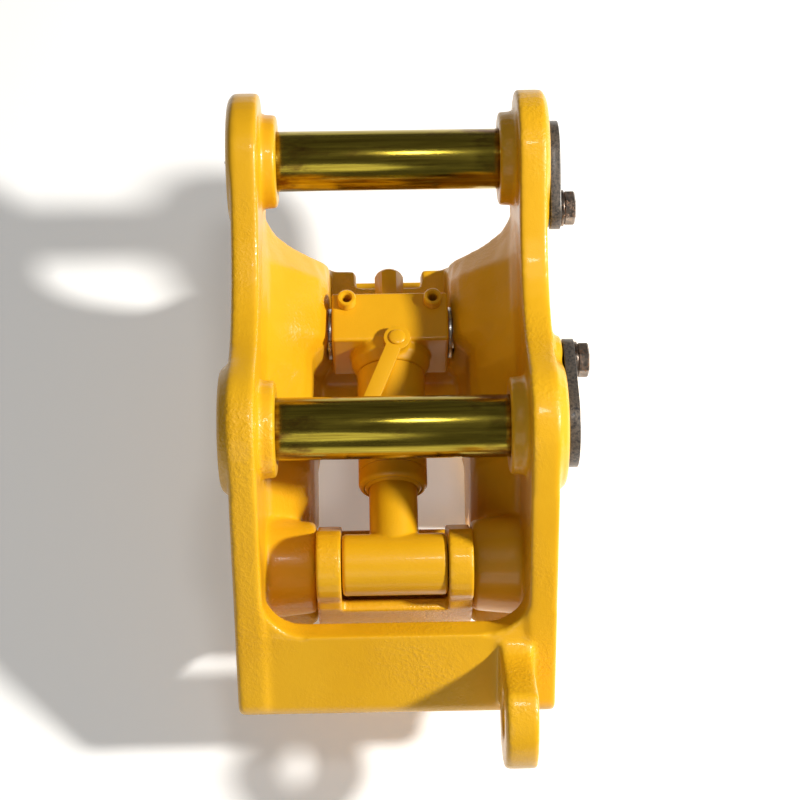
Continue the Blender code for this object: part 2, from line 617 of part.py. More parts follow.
# ---------------------------------------------------------------- hydraulic cylinder
def build_cylinder(swing):
    """Cylinder housing. Its own Y runs from the rod end towards the check valve."""
    end_y = BLOCK_HALF_Y
    bevel = BLOCK_BEVEL
    block_outline = [(-end_y + bevel, -BLOCK_HALF_Z), (end_y - bevel, -BLOCK_HALF_Z),
                     (end_y, -BLOCK_HALF_Z + bevel), (end_y, BLOCK_HALF_Z - bevel),
                     (end_y - bevel, BLOCK_HALF_Z), (-end_y + bevel, BLOCK_HALF_Z),
                     (-end_y, BLOCK_HALF_Z - bevel), (-end_y, -BLOCK_HALF_Z + bevel)]
    block = finish_piece("cylinder_block",
                         prism_mesh(block_outline, -BLOCK_HALF_X, BLOCK_HALF_X), YELLOW, swing)
    neck = [(0.0, -TUBE_START), (TUBE_R, -TUBE_START), (BLOCK_NECK_R, -0.031),
            (BLOCK_NECK_R, 0.010), (0.0, 0.010)]
    stud_place = (LEVER_X, LEVER_Y, 0.0)
    boss = turned_mesh(cap_profile(LEVER_BOSS_R, 0.0, LEVER_BASE_Z - GAP), "Z", stud_place)
    chamber = cap_profile(CHAMBER_R, -0.060, 0.008)
    valve_bore = cap_profile(VALVE_STEM_R + GAP, 0.004, 0.030)
    trunnion_bores = [(0.0, 0.0215), (TRUNNION_R + GAP, 0.0215), (TRUNNION_R + GAP, 0.060),
                      (0.0, 0.060)]
    tools = [
        ("add_block_neck", turned_mesh(neck, "Y"), "UNION"),
        ("add_lever_boss", boss, "UNION"),
        ("cut_block_chamber", turned_mesh(chamber, "Y"), "DIFFERENCE"),
        ("cut_valve_bore", turned_mesh(valve_bore, "Y", segments=SMALL), "DIFFERENCE"),
        ("cut_trunnion_bores", both_sides(trunnion_bores, (0.0, 0.0)), "DIFFERENCE"),
    ]
    for side, label in ((-1.0, "left"), (1.0, "right")):
        place = (side * PORT[0], PORT[1], 0.0)
        collar = [(0.0038, 0.0195), (0.0058, 0.0195), (0.0058, 0.0314), (0.0078, 0.0314),
                  (0.0078, 0.0395), (0.0070, 0.0405), (0.0038, 0.0405)]
        tools.append((f"cut_port_{label}",
                      turned_mesh(cap_profile(0.0061, 0.0190, 0.040), "Z", place, SMALL),
                      "DIFFERENCE"))
        finish_piece(f"port_adapter_{label}",
                     turned_mesh(collar, "Z", place, SMALL, ring=True), YELLOW, swing)
    tools.append(("cut_stud_hole",
                  turned_mesh(cap_profile(STUD_R + GAP, 0.0250, 0.040), "Z", stud_place, SMALL),
                  "DIFFERENCE"))
    for name, bm, operation in tools:
        tool = helper(name, bm)
        tool.parent = swing
        combine(block, tool, operation)
    tube = ring_profile(BORE_R, TUBE_R, -TUBE_START - GAP, -GLAND_END + GLAND_LENGTH + GAP)
    finish_piece("cylinder_tube", turned_mesh(tube, "Y", ring=True), YELLOW, swing)
    gland_y = -GLAND_END + GLAND_LENGTH
    gland = [(ROD_R + GAP, gland_y + GLAND_SPIGOT), (BORE_R - GAP, gland_y + GLAND_SPIGOT),
             (BORE_R - GAP, gland_y), (TUBE_R, gland_y), (TUBE_R, -GLAND_END + 0.005),
             (TUBE_R - 0.0015, -GLAND_END + 0.0015), (TUBE_R - 0.005, -GLAND_END),
             (WIPER_R + 0.0004, -GLAND_END), (WIPER_R + 0.0004, -GLAND_END + 0.005),
             (ROD_R + GAP, -GLAND_END + 0.005)]
    finish_piece("cylinder_gland", turned_mesh(gland, "Y", ring=True), YELLOW, swing)
    wiper = [(ROD_R + GAP, -GLAND_END + 0.0046), (WIPER_R, -GLAND_END + 0.0046),
             (WIPER_R, -GLAND_END + 0.0004), (ROD_R + 0.0016, -GLAND_END - 0.0012),
             (ROD_R + GAP, -GLAND_END - 0.0012)]
    finish_piece("rod_wiper", turned_mesh(wiper, "Y", ring=True), RUBBER, swing)
    valve_stem = cap_profile(VALVE_STEM_R, 0.0085, BLOCK_HALF_Y + 0.006)
    valve = finish_piece("check_valve_cartridge",
                         turned_mesh(valve_stem, "Y", segments=SMALL), YELLOW, swing)
    hex_head = helper("add_valve_hex",
                      hex_bolt_profile_mesh(0.0215, VALVE_HEAD_LENGTH, BLOCK_HALF_Y + GAP, "Y", (0, 0, 0)))
    hex_head.parent = swing
    combine(valve, hex_head, "UNION")


def build_lever(swing):
    """Lock lever on its shouldered stud."""
    top = LEVER_BASE_Z + LEVER_T
    stud = [(0.0, 0.0255), (STUD_R, 0.0255), (STUD_R, top + GAP), (STUD_R + 0.003, top + GAP),
            (STUD_R + 0.003, top + 0.0030), (STUD_R + 0.001, top + 0.0045), (0.0, top + 0.0045)]
    finish_piece("lever_stud", turned_mesh(stud, "Z", (LEVER_X, LEVER_Y, 0.0), SMALL),
                 YELLOW, swing)
    axis = make_axis("lever_axis", swing, (LEVER_X, LEVER_Y, LEVER_BASE_Z))
    axis.rotation_euler = (0.0, 0.0, LEVER_AIM)
    eye_r, arm_half, end_r = 0.0112, 0.0064, 0.0064
    outline = []
    first = math.degrees(math.asin(arm_half / eye_r))
    for y, x in arc((0.0, 0.0), eye_r, 180.0 - first, -180.0 + first, 18):
        outline.append((x, y))
    for y, x in arc((-LEVER_REACH, 0.0), end_r, -90.0, -270.0, 8):
        outline.append((x, y))
    bm = bmesh.new()
    face = bm.faces.new([bm.verts.new((x, y, 0.0003)) for x, y in outline])
    grown = bmesh.ops.extrude_face_region(bm, geom=[face])
    moved = [item for item in grown["geom"] if isinstance(item, bmesh.types.BMVert)]
    bmesh.ops.translate(bm, verts=moved, vec=(0.0, 0.0, LEVER_T - 0.0003))
    lever = finish_piece("lock_lever", bm, YELLOW, axis)
    hole = helper("cut_lever_hole", turned_mesh(cap_profile(STUD_R + GAP, -0.01, 0.02), "Z",
                                                segments=SMALL))
    hole.parent = axis
    combine(lever, hole, "DIFFERENCE")


def build_rod(swing):
    """Piston, its seal and nut, and the rod with its cross barrel."""
    rod_axis = make_axis("rod_axis", swing, (0.0, -CYL_LENGTH, 0.0))
    shoulder = CYL_LENGTH - 0.114            # rod shoulder that the piston sits against
    rod_line = [(0.0, 0.0), (ROD_R, 0.0), (ROD_R, shoulder), (SPIGOT_R, shoulder),
                (SPIGOT_R, shoulder + 0.038), (0.0, shoulder + 0.038)]
    rod = finish_piece("piston_rod", turned_mesh(rod_line, "Y"), YELLOW, rod_axis)
    half = BARREL_HALF_X
    barrel = [(0.0, -half), (BARREL_R - 0.0015, -half), (BARREL_R, -half + 0.0015),
              (BARREL_R, half - 0.0015), (BARREL_R - 0.0015, half), (0.0, half)]
    tools = [("add_rod_barrel", turned_mesh(barrel, "X"), "UNION"),
             ("cut_rod_barrel", turned_mesh(cap_profile(ROD_END_PIN_R + ROD_END_PLAY,
                                                        -0.060, 0.060), "X"), "DIFFERENCE")]
    for name, bm, operation in tools:
        tool = helper(name, bm)
        tool.parent = rod_axis
        combine(rod, tool, operation)
    start = shoulder + GAP
    seal_low, seal_high = start + 0.008, start + 0.014
    outer = BORE_R - GAP
    piston = [(SPIGOT_R + GAP, start), (outer, start), (outer, seal_low), (0.0175, seal_low),
              (0.0175, seal_high), (outer, seal_high), (outer, start + PISTON_LENGTH),
              (SPIGOT_R + GAP, start + PISTON_LENGTH)]
    finish_piece("piston", turned_mesh(piston, "Y", ring=True), STEEL, rod_axis)
    seal = ring_profile(0.0178, outer, seal_low + GAP, seal_high - GAP)
    finish_piece("piston_seal", turned_mesh(seal, "Y", ring=True), RUBBER, rod_axis)
    nut_start = start + PISTON_LENGTH + GAP
    nut = ring_profile(SPIGOT_R + GAP, 0.0165, nut_start, nut_start + 0.0117)
    finish_piece("piston_nut", turned_mesh(nut, "Y", segments=6 * 3, ring=True), STEEL, rod_axis)


def build_trunnions():
    """Fixed trunnion pins through the walls, with their thrust washers."""
    place = (0.0, *TRUNNION)
    for side, label in ((-1.0, "left"), (1.0, "right")):
        pin = [(0.0, 0.0225), (TRUNNION_R - 0.001, 0.0225), (TRUNNION_R, 0.0235),
               (TRUNNION_R, 0.0963), (0.0225, 0.0963), (0.0225, 0.1005), (0.0205, 0.1020),
               (0.0, 0.1020)]
        pin = [(radius, side * along) for radius, along in pin]
        finish_piece(f"trunnion_pin_{label}", turned_mesh(pin, "X", place), STEEL, frame_empty)
        washer = ring_profile(TRUNNION_R + GAP, 0.0220, side * (BLOCK_HALF_X + GAP),
                              side * (TRUNNION_BOSS_X - GAP))
        finish_piece(f"trunnion_washer_{label}",
                     turned_mesh(washer, "X", place, ROUND, ring=True), STEEL, frame_empty)


build_body()
build_pin("front", FRONT_PIN, FRONT_BOSS_X, FRONT_BOLT_Y, 0.031)
build_pin("rear", REAR_PIN, REAR_BOSS_X, REAR_BOLT_Y, 0.034)
build_jaw_pin()
build_jaw(make_axis("jaw_axis", frame_empty, (0.0, *JAW_PIVOT)))
build_trunnions()
swing_axis = make_axis("cylinder_axis", frame_empty, (0.0, *TRUNNION), CYL_TILT)
build_cylinder(swing_axis)
build_lever(swing_axis)
build_rod(swing_axis)
bpy.context.view_layer.update()
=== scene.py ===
"""Finished look of the quick coupler: cast skins, turned pins, keepers, enamel and plating."""
import json
import math

import bmesh
import bpy
import numpy as np
from mathutils import Matrix, Vector


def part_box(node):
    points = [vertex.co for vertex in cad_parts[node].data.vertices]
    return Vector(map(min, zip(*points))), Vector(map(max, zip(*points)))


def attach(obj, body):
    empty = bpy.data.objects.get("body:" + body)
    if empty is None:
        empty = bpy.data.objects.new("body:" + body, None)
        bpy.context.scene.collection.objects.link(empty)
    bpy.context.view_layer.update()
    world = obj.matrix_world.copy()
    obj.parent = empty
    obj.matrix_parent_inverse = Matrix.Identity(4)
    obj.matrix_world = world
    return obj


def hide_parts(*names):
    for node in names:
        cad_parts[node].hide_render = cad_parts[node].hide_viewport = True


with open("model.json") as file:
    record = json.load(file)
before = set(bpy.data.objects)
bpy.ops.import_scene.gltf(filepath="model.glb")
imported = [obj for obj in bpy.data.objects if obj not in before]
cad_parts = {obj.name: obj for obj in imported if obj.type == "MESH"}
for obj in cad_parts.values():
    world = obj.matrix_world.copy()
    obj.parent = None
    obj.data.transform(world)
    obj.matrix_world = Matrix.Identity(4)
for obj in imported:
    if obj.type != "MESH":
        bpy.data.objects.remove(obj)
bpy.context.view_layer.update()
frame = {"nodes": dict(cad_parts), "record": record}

NODE_BODY = {node: body for body, members in frame["record"]["behaviour"]["bodies"].items()
             for node in members}
NODE_SLOT = {part["node"]: part["material_slot"] for part in frame["record"]["subparts"]}
JOINTS = {joint["name"]: joint for joint in frame["record"]["behaviour"]["joints"]}
MIDDLE_X = JOINTS["cylinder_swing"]["pos_m"][0]


# ---------------------------------------------------------------- sizes, in metres
ORIGIN = (0.0, 0.0, 0.0)
MERGE_DISTANCE = 1e-6
FLAT_ANGLE = math.radians(1.0)
ROUND_SIDES = 96
SMALL_SIDES = 48

# Voxel size, rounds of smoothing and share of the faces kept, for each kind of cast skin.
BODY_SKIN = ((0.0020, 15, 0.38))
JAW_SKIN = (0.0015, 9, 0.6)
WELD_SKIN = (0.0010, 4, 0.5)

CLEARANCE = 0.0003
PIN_CHAMFER = 0.0015
GREASE_WAY_R = 0.0032
GREASE_WAY_DEPTH = 0.0068
NIPPLE_COLLAR_END = 0.0068
TRUNNION_R = 0.014
JAW_PIN_R = 0.018
RING_FILLET = 0.0004
WASHER_FILLET = 0.0005
BUSH_FILLET = 0.0008

KEEPER_EDGE = 0.0011
KEEPER_BOLT_R = 0.008
BOLT_HEAD_FLATS = 0.024
BOLT_HEAD_LENGTH = 0.009
BOLT_HEAD_CHAMFER = 0.0011
SHANK_CHAMFER = 0.001
SHANK_IN_HEAD = 0.002

TUBE_WALL = 0.0062
TUBE_EASE = 0.0006
ROD_R = 0.020
BORE_R = 0.0223
WIPER_R = 0.0237
WIPER_SEAT = 0.005
WIPER_SEAT_R = WIPER_R + 0.0004
GLAND_SPIGOT = 0.012
GLAND_NOSE = 0.0045
GLAND_EASE = 0.0004

ROD_END_PIN_R = 0.014
ROD_END_PLAY = 0.003
SPIGOT_R = 0.012
PISTON_STACK = 0.038
BARREL_EASE = 0.002
BARREL_BORE_HALF = 0.060

BLOCK_HALF_Y = 0.023
BLOCK_HALF_Z = 0.031
BLOCK_EASE = 0.0022
NECK_R = 0.0335
NECK_START = -0.031
NECK_END = -0.020
TUBE_R = 0.0285
TUBE_START = 0.040
CHAMBER_R = 0.018
CHAMBER_MOUTH = -0.060
CHAMBER_FLOOR = 0.008
VALVE_STEM_R = 0.0082
VALVE_BORE = (0.004, 0.030)
STUD_R = 0.004
STUD_BORE = (0.025, 0.040)
LEVER_BOSS_R = 0.0105
TRUNNION_BORE = (0.0215, 0.060)
PORT_HOLE_R = 0.0061
PORT_BORE = (0.019, 0.040)
PORT_MOUTH_R = 0.0038
PORT_SEAT_Z = BLOCK_HALF_Z + 0.0004
PORT_THREADS = 4
THREAD_DEPTH = 0.0004

VALVE_FLATS = 0.0215
VALVE_EDGE = 0.0004
LEVER_EDGE = 0.0009
RIVET_HEAD_DEPTH = 0.0042
RIVET_TOP_DEPTH = 0.0020
RIVET_CROWN = 0.0016


# ---------------------------------------------------------------- camera, floor and lights
CAMERA_PLACE = Vector((-0.0248, -0.5515, 1.6977))
CAMERA_AZIMUTH = math.radians(2.08)
CAMERA_ELEVATION = math.radians(69.04)
CAMERA_ROLL = math.radians(1.02)
CAMERA_LENS = 87.84

FLOOR_HALF = 6.0
FLOOR_DROP = 0.0002
FLOOR_GLOW = 0.22
ROOM_STRENGTH = 0.12
LAMP_AIM = (0.0, 0.0, 0.15)
# Name, place, width, power in watts and colour.
LAMPS = (("key_lamp", (1.90, -0.15, 1.87), 0.24, 98.0, (1.0, 0.97, 0.92)),
         ("top_lamp", (0.20, 0.15, 2.70), 0.32, 6.0, (1.0, 1.0, 1.0)),
         ("rear_lamp", (-0.50, -1.90, 1.70), 1.30, 5.0, (0.98, 0.99, 1.0)))


def add_object(name, data):
    obj = bpy.data.objects.new(name, data)
    bpy.context.scene.collection.objects.link(obj)
    return obj


def make_camera():
    ahead = Vector((math.sin(CAMERA_AZIMUTH) * math.cos(CAMERA_ELEVATION),
                    math.cos(CAMERA_AZIMUTH) * math.cos(CAMERA_ELEVATION),
                    -math.sin(CAMERA_ELEVATION)))
    level = Vector((math.cos(CAMERA_AZIMUTH), -math.sin(CAMERA_AZIMUTH), 0.0))
    up = level.cross(ahead)
    right = level * math.cos(CAMERA_ROLL) + up * math.sin(CAMERA_ROLL)
    up = right.cross(ahead)
    data = bpy.data.cameras.new("camera")
    data.lens = CAMERA_LENS
    data.sensor_width = 36.0
    data.clip_end = 50.0
    camera = add_object("camera", data)
    turn = Matrix((right, up, -ahead)).transposed().to_4x4()
    camera.matrix_world = Matrix.Translation(CAMERA_PLACE) @ turn
    bpy.context.scene.camera = camera


def add_lamp(name, place, width, power, colour):
    """Round lamp that faces the coupler."""
    data = bpy.data.lights.new(name, "AREA")
    data.shape = "DISK"
    data.size = width
    data.energy = power
    data.color = colour
    lamp = add_object(name, data)
    lamp.location = place
    aim = Vector(LAMP_AIM) - Vector(place)
    lamp.rotation_euler = aim.to_track_quat("-Z", "Y").to_euler()


def make_surroundings():
    """Pale floor, a soft room and three lamps; the key lamp stands high on the right."""
    bm = bmesh.new()
    bmesh.ops.create_grid(bm, x_segments=1, y_segments=1, size=FLOOR_HALF)
    mesh = bpy.data.meshes.new("floor")
    bm.to_mesh(mesh)
    bm.free()
    floor = add_object("floor", mesh)
    floor.location = (0.0, 0.0, -FLOOR_DROP)
    paint = bpy.data.materials.new("floor_paint")
    paint.use_nodes = True
    shader = paint.node_tree.nodes["Principled BSDF"]
    shader.inputs["Base Color"].default_value = (0.93, 0.93, 0.92, 1.0)
    shader.inputs["Roughness"].default_value = 0.8
    shader.inputs["Specular IOR Level"].default_value = 0.1
    shader.inputs["Emission Color"].default_value = (1.0, 1.0, 0.99, 1.0)
    shader.inputs["Emission Strength"].default_value = FLOOR_GLOW
    mesh.materials.append(paint)
    world = bpy.data.worlds.new("room")
    world.use_nodes = True
    backdrop = world.node_tree.nodes["Background"]
    backdrop.inputs["Color"].default_value = (1.0, 0.985, 0.95, 1.0)
    backdrop.inputs["Strength"].default_value = ROOM_STRENGTH
    bpy.context.scene.world = world
    for lamp in LAMPS:
        add_lamp(*lamp)
    bpy.context.scene.view_settings.view_transform = "Standard"


# ---------------------------------------------------------------- shared shader effects
def new_group(name, inputs, outputs):
    """Empty shader group with named float or colour sockets."""
    group = bpy.data.node_groups.new(name, "ShaderNodeTree")
    for label, kind, value in inputs:
        socket = group.interface.new_socket(name=label, in_out="INPUT", socket_type=kind)
        socket.default_value = value
    for label, kind in outputs:
        group.interface.new_socket(name=label, in_out="OUTPUT", socket_type=kind)
    return group, group.nodes.new("NodeGroupInput"), group.nodes.new("NodeGroupOutput")


def noise(tree, scale, detail=4.0, roughness=0.55, stretch=(1.0, 1.0, 1.0)):
    """Noise on object coordinates, so that it stays on the piece."""
    place = tree.nodes.new("ShaderNodeTexCoord")
    mapping = tree.nodes.new("ShaderNodeMapping")
    mapping.inputs["Scale"].default_value = stretch
    texture = tree.nodes.new("ShaderNodeTexNoise")
    texture.inputs["Scale"].default_value = scale
    texture.inputs["Detail"].default_value = detail
    texture.inputs["Roughness"].default_value = roughness
    tree.links.new(place.outputs["Object"], mapping.inputs["Vector"])
    tree.links.new(mapping.outputs["Vector"], texture.inputs["Vector"])
    return texture


def ramp(tree, source, low, high):
    """Value stretched so that low becomes 0 and high 1."""
    node = tree.nodes.new("ShaderNodeMapRange")
    node.inputs["From Min"].default_value = low
    node.inputs["From Max"].default_value = high
    tree.links.new(source, node.inputs["Value"])
    return node.outputs["Result"]


def math_node(tree, operation, first, second):
    node = tree.nodes.new("ShaderNodeMath")
    node.operation = operation
    for socket, value in zip(node.inputs, (first, second)):
        if isinstance(value, (int, float)):
            socket.default_value = value
        else:
            tree.links.new(value, socket)
    return node.outputs[0]


def mix_colour(tree, factor, first, second):
    node = tree.nodes.new("ShaderNodeMix")
    node.data_type = "RGBA"
    sockets = (node.inputs[0], node.inputs[6], node.inputs[7])
    for socket, value in zip(sockets, (factor, first, second)):
        if isinstance(value, (int, float, tuple)):
            socket.default_value = value
        else:
            tree.links.new(value, socket)
    return node.outputs[2]


def make_cast_grain():
    """Height of a painted casting: soft sand-cast pebbles under finer orange peel."""
    group, given, result = new_group(
        "cast_grain",
        [("Pebble", "NodeSocketFloat", 0.5), ("Peel", "NodeSocketFloat", 0.3)],
        [("Height", "NodeSocketFloat")])
    coarse = noise(group, scale=90.0, detail=3.0, roughness=0.5)
    pebble = noise(group, scale=330.0, detail=3.0, roughness=0.6)
    patch = noise(group, scale=11.0, detail=2.0, roughness=0.5)
    peel = noise(group, scale=1100.0, detail=2.0, roughness=0.5)
    mask = ramp(group, patch.outputs["Fac"], low=0.42, high=0.66)
    dots = ramp(group, pebble.outputs["Fac"], low=0.42, high=0.72)
    rough = math_node(group, "MULTIPLY", dots, mask)
    base = math_node(group, "MULTIPLY", coarse.outputs["Fac"], 0.9)
    rough = math_node(group, "ADD", rough, base)
    rough = math_node(group, "MULTIPLY", rough, given.outputs["Pebble"])
    fine = math_node(group, "MULTIPLY", peel.outputs["Fac"], given.outputs["Peel"])
    group.links.new(math_node(group, "ADD", rough, fine), result.inputs["Height"])
    return group


def make_tone_drift():
    """Slow change of tone over a surface."""
    group, given, result = new_group(
        "tone_drift",
        [("Light", "NodeSocketColor", (1, 1, 1, 1)), ("Dark", "NodeSocketColor", (0, 0, 0, 1)),
         ("Scale", "NodeSocketFloat", 9.0)],
        [("Color", "NodeSocketColor"), ("Mask", "NodeSocketFloat")])
    cloud = noise(group, scale=9.0, detail=4.0, roughness=0.6)
    group.links.new(given.outputs["Scale"], cloud.inputs["Scale"])
    mask = ramp(group, cloud.outputs["Fac"], low=0.30, high=0.72)
    group.links.new(mix_colour(group, mask, given.outputs["Dark"], given.outputs["Light"]),
                    result.inputs["Color"])
    group.links.new(mask, result.inputs["Mask"])
    return group


def make_edge_wear():
    """Mask of rubbed convex edges, broken up by noise."""
    group, given, result = new_group(
        "edge_wear", [("Amount", "NodeSocketFloat", 0.5), ("Breakup", "NodeSocketFloat", 160.0)],
        [("Mask", "NodeSocketFloat")])
    shape = group.nodes.new("ShaderNodeNewGeometry")
    edges = ramp(group, shape.outputs["Pointiness"], low=0.505, high=0.56)
    broken = noise(group, scale=160.0, detail=5.0, roughness=0.7)
    group.links.new(given.outputs["Breakup"], broken.inputs["Scale"])
    patchy = ramp(group, broken.outputs["Fac"], low=0.38, high=0.58)
    rubbed = math_node(group, "MULTIPLY", edges, patchy)
    group.links.new(math_node(group, "MULTIPLY", rubbed, given.outputs["Amount"]),
                    result.inputs["Mask"])
    return group


def make_painted_shade():
    """Mask of sheltered corners, where painted shade darkens the surface, broken up by noise."""
    group, given, result = new_group("painted_shade", [("Amount", "NodeSocketFloat", 0.5)],
                                     [("Mask", "NodeSocketFloat")])
    shape = group.nodes.new("ShaderNodeNewGeometry")
    hollow = ramp(group, shape.outputs["Pointiness"], low=0.475, high=0.425)
    broken = noise(group, scale=70.0, detail=4.0, roughness=0.65)
    patchy = ramp(group, broken.outputs["Fac"], low=0.30, high=0.60)
    # Painted shade: the hollows of the surface, broken into patches, make the mask for darker
    # colour.
    shade_mask = math_node(group, "MULTIPLY", hollow, patchy)
    group.links.new(math_node(group, "MULTIPLY", shade_mask, given.outputs["Amount"]),
                    result.inputs["Mask"])
    return group


def make_scuffs():
    """Mask of fine scuffs and rust specks on handled steel."""
    group, given, result = new_group(
        "scuffs", [("Amount", "NodeSocketFloat", 0.5), ("Scale", "NodeSocketFloat", 240.0)],
        [("Mask", "NodeSocketFloat")])
    lines = noise(group, scale=240.0, detail=6.0, roughness=0.75, stretch=(1.0, 0.12, 1.0))
    specks = noise(group, scale=420.0, detail=4.0, roughness=0.7)
    group.links.new(given.outputs["Scale"], lines.inputs["Scale"])
    first = ramp(group, lines.outputs["Fac"], low=0.54, high=0.66)
    second = ramp(group, specks.outputs["Fac"], low=0.56, high=0.70)
    both = math_node(group, "MAXIMUM", first, second)
    group.links.new(math_node(group, "MULTIPLY", both, given.outputs["Amount"]),
                    result.inputs["Mask"])
    return group


GROUPS = {"grain": make_cast_grain(), "drift": make_tone_drift(), "wear": make_edge_wear(),
          "scuffs": make_scuffs(), "painted_shade": make_painted_shade()}


def use_group(tree, key, **values):
    """Shared effect placed in a material, with the material's own values."""
    node = tree.nodes.new("ShaderNodeGroup")
    node.node_tree = GROUPS[key]
    for label, value in values.items():
        node.inputs[label].default_value = value
    return node


def start_material(name, roughness=None, metallic=0.0, coat=0.0, coat_roughness=0.03):
    material = bpy.data.materials.new(name)
    material.use_nodes = True
    shader = material.node_tree.nodes["Principled BSDF"]
    shader.inputs["Metallic"].default_value = metallic
    shader.inputs["Coat Weight"].default_value = coat
    shader.inputs["Coat Roughness"].default_value = coat_roughness
    if roughness is not None:
        shader.inputs["Roughness"].default_value = roughness
    return material, material.node_tree, shader


def add_bump(tree, shader, height, strength, distance):
    bump = tree.nodes.new("ShaderNodeBump")
    bump.inputs["Strength"].default_value = strength
    bump.inputs["Distance"].default_value = distance
    tree.links.new(height, bump.inputs["Height"])
    tree.links.new(bump.outputs["Normal"], shader.inputs["Normal"])


def enamel(name, pebble, peel):
    """Golden-yellow enamel, thick and glossy over the cast skin, with painted shade darkening its
    sheltered corners.
    """
    material, tree, shader = start_material(name, coat=0.22, coat_roughness=0.08)
    shader.inputs["Specular IOR Level"].default_value = 0.36
    drift = use_group(tree, "drift", Light=(0.770, 0.420, 0.010, 1), Dark=(0.680, 0.345, 0.006, 1),
                      Scale=7.0)
    # Painted shade: sheltered corners are mixed toward a dark reddish brown in the base colour.
    shade_node = use_group(tree, "painted_shade", Amount=0.55)
    tone = mix_colour(tree, shade_node.outputs["Mask"], drift.outputs["Color"], (0.300, 0.110, 0.006, 1))
    tree.links.new(tone, shader.inputs["Base Color"])
    rough = math_node(tree, "MULTIPLY", drift.outputs["Mask"], 0.10)
    tree.links.new(math_node(tree, "ADD", rough, 0.30), shader.inputs["Roughness"])
    grain = use_group(tree, "grain", Pebble=pebble, Peel=peel)
    add_bump(tree, shader, grain.outputs["Height"], strength=0.55, distance=0.0007)
    return material


def plated_pin():
    """Olive-gold zinc plating with lengthwise streaks, brown stains and darker ends."""
    material, tree, shader = start_material("zinc_plating", metallic=1.0)
    streak = noise(tree, scale=300.0, detail=6.0, roughness=0.65, stretch=(0.035, 1.0, 1.0))
    stain = noise(tree, scale=22.0, detail=6.0, roughness=0.7, stretch=(1.0, 2.2, 2.2))
    tone = mix_colour(tree, ramp(tree, streak.outputs["Fac"], low=0.32, high=0.68),
                      (0.235, 0.165, 0.018, 1), (0.560, 0.440, 0.055, 1))
    place = tree.nodes.new("ShaderNodeTexCoord")
    split = tree.nodes.new("ShaderNodeSeparateXYZ")
    tree.links.new(place.outputs["Object"], split.inputs["Vector"])
    offset = math_node(tree, "SUBTRACT", split.outputs["X"], MIDDLE_X)
    along = math_node(tree, "ABSOLUTE", offset, 0.0)
    ends = math_node(tree, "MULTIPLY", ramp(tree, along, low=0.045, high=0.098), 0.16)
    marks = math_node(tree, "ADD", stain.outputs["Fac"], ends)
    tone = mix_colour(tree, ramp(tree, marks, low=0.57, high=0.76), tone, (0.150, 0.070, 0.016, 1))
    tree.links.new(tone, shader.inputs["Base Color"])
    rough = math_node(tree, "ADD", math_node(tree, "MULTIPLY", marks, 0.26), 0.05)
    tree.links.new(rough, shader.inputs["Roughness"])
    add_bump(tree, shader, streak.outputs["Fac"], strength=0.10, distance=0.0002)
    return material


def black_keeper():
    """Black paint scuffed to brown and bare steel on its edges."""
    material, tree, shader = start_material("black_keeper_paint", coat=0.2, coat_roughness=0.2)
    wear = use_group(tree, "wear", Amount=1.0, Breakup=420.0)
    scuff = use_group(tree, "scuffs", Amount=0.15, Scale=300.0)
    mask = math_node(tree, "MAXIMUM", wear.outputs["Mask"], scuff.outputs["Mask"])
    tone = mix_colour(tree, mask, (0.016, 0.016, 0.018, 1), (0.20, 0.17, 0.14, 1))
    tree.links.new(tone, shader.inputs["Base Color"])
    tree.links.new(math_node(tree, "MULTIPLY", mask, 0.8), shader.inputs["Metallic"])
    rough = math_node(tree, "MULTIPLY", mask, 0.15)
    tree.links.new(math_node(tree, "ADD", rough, 0.34), shader.inputs["Roughness"])
    add_bump(tree, shader, scuff.outputs["Mask"], strength=0.3, distance=0.0003)
    return material


def worn_bolt():
    """Bolt steel with its blacking rubbed off and light rust left in it."""
    material, tree, shader = start_material("scratched_bolt_steel", metallic=0.9)
    scuff = use_group(tree, "scuffs", Amount=1.0, Scale=190.0)
    drift = use_group(tree, "drift", Light=(0.36, 0.30, 0.25, 1), Dark=(0.050, 0.036, 0.028, 1),
                      Scale=60.0)
    tone = mix_colour(tree, scuff.outputs["Mask"], drift.outputs["Color"], (0.26, 0.125, 0.06, 1))
    tree.links.new(tone, shader.inputs["Base Color"])
    rough = math_node(tree, "MULTIPLY", scuff.outputs["Mask"], 0.35)
    tree.links.new(math_node(tree, "ADD", rough, 0.30), shader.inputs["Roughness"])
    add_bump(tree, shader, scuff.outputs["Mask"], strength=0.35, distance=0.0003)
    return material


def machined(name, light, dark, base_rough, stretch):
    """Machined metal with fine tool lines."""
    material, tree, shader = start_material(name, metallic=1.0)
    lines = noise(tree, scale=420.0, detail=4.0, roughness=0.6, stretch=stretch)
    tone = mix_colour(tree, ramp(tree, lines.outputs["Fac"], low=0.3, high=0.7), dark, light)
    tree.links.new(tone, shader.inputs["Base Color"])
    rough = math_node(tree, "MULTIPLY", lines.outputs["Fac"], 0.14)
    tree.links.new(math_node(tree, "ADD", rough, base_rough), shader.inputs["Roughness"])
    add_bump(tree, shader, lines.outputs["Fac"], strength=0.10, distance=0.0002)
    return material


def seal_rubber():
    """Dull black rubber of the piston's seal."""
    material, tree, shader = start_material("seal_rubber", roughness=0.62)
    drift = use_group(tree, "drift", Light=(0.028, 0.028, 0.030, 1), Dark=(0.014, 0.014, 0.015, 1),
                      Scale=120.0)
    grain = use_group(tree, "grain", Pebble=0.1, Peel=0.5)
    tree.links.new(drift.outputs["Color"], shader.inputs["Base Color"])
    add_bump(tree, shader, grain.outputs["Height"], strength=0.3, distance=0.0002)
    return material


